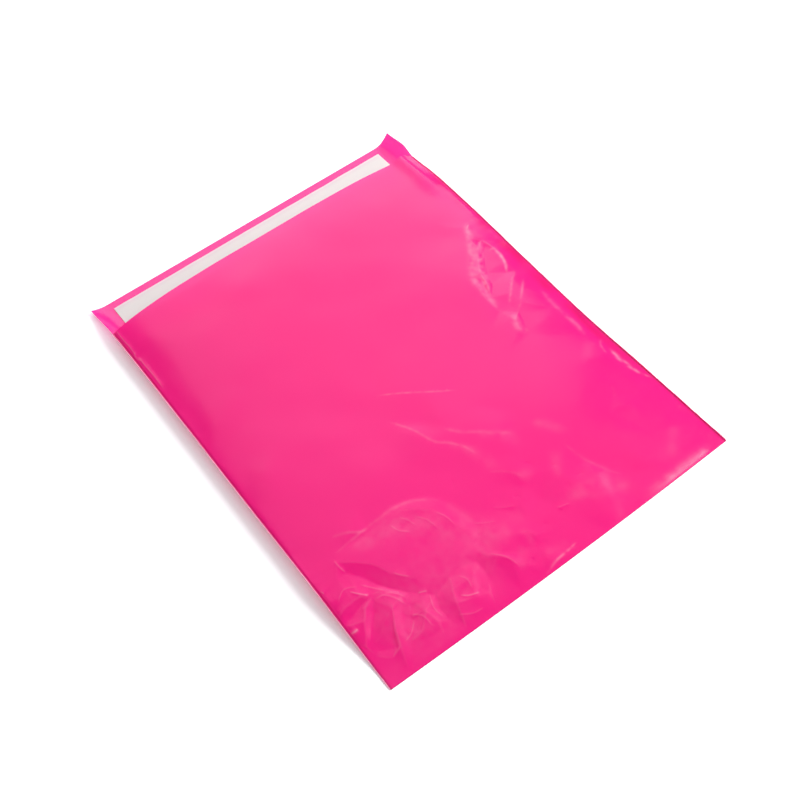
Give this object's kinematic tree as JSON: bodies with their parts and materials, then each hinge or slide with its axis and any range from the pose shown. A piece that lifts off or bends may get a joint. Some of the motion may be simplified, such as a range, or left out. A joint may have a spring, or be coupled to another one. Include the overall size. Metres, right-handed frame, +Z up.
{
  "type": "poly mailer bag",
  "caption": "Flat plastic film mailing bag with side welds, a folded bottom, an open mouth and a closing flap with glue strip and release liner.",
  "frame": {"origin": "middle of the underside of the bounding box, on the surface that the bag lies on", "axes": "+Y from the folded bottom edge through the mouth to the flap, +X across the bag to the right seen from above with the mouth away, +Z up out of the front panel"},
  "size_m": [0.25, 0.342, 0.0178],
  "materials": {
    "pink_film": "hot pink blown film, soft gloss, slightly see-through",
    "hot_melt_glue": "cream hot-melt glue, tacky",
    "liner_film": "milky white siliconised film, satin"
  },
  "bodies": {
    "root": {"bag_film": "pink_film", "adhesive_strip": "hot_melt_glue", "release_liner": "liner_film"}
  },
  "joints": []
}
